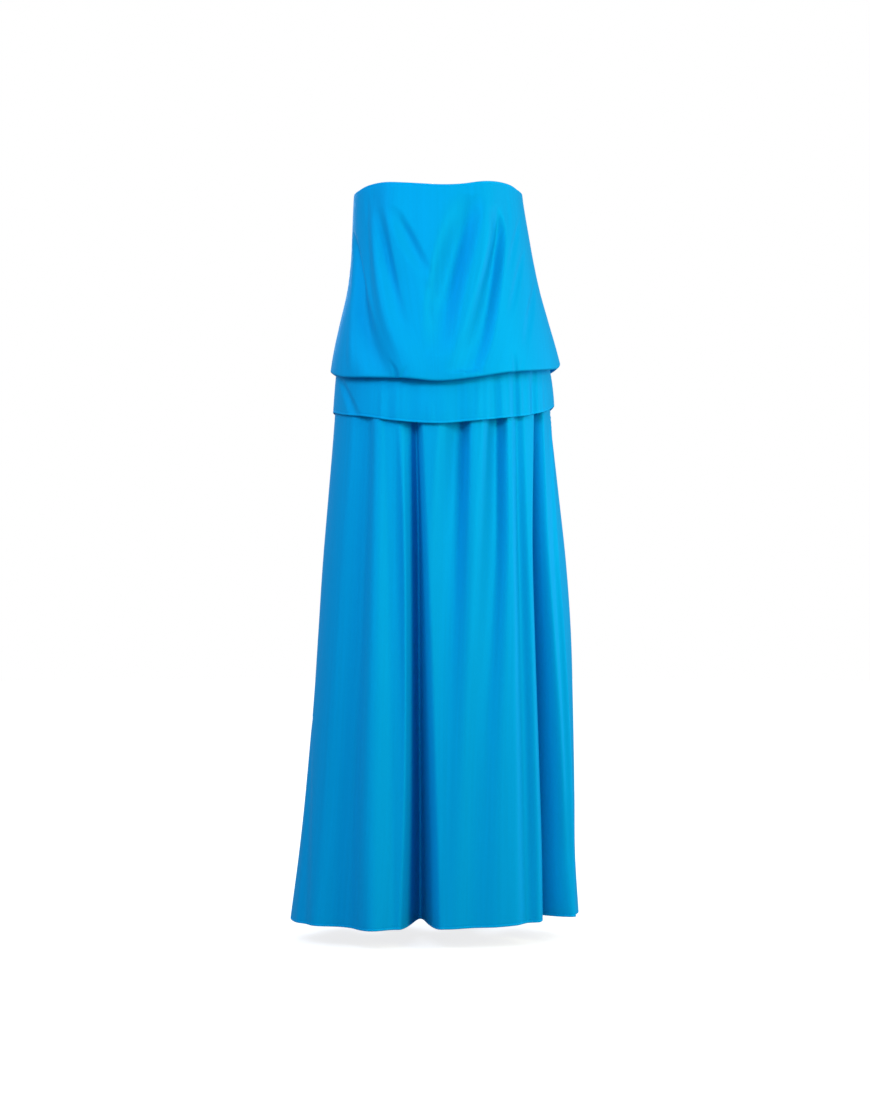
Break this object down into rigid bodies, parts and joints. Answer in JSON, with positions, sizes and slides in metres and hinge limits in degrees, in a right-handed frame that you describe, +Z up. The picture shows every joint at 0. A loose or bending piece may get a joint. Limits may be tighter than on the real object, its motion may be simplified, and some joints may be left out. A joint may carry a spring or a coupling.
{
  "type": "strapless dress",
  "caption": "Strapless floor-length dress with a bloused bodice, a short hip tier and a long flared skirt, hollow and open as worn.",
  "frame": {"origin": "middle of the neckline opening, level with the top of the side seams, where the bust of the wearer holds the dress up", "axes": "+Z up along the wearer, -Y towards the front, +X to the wearer's left"},
  "size_m": [0.5039, 0.3432, 1.2759],
  "materials": {
    "bodice_cloth": "matt-backed satin crepe, vivid azure blue",
    "tier_cloth": "matt-backed satin crepe, vivid azure blue",
    "skirt_cloth": "matt-backed satin crepe, vivid azure blue"
  },
  "bodies": {
    "root": {"bodice_front": "bodice_cloth", "bodice_back": "bodice_cloth", "tier_front": "tier_cloth", "tier_back": "tier_cloth", "skirt_front": "skirt_cloth", "skirt_back": "skirt_cloth"}
  },
  "joints": []
}
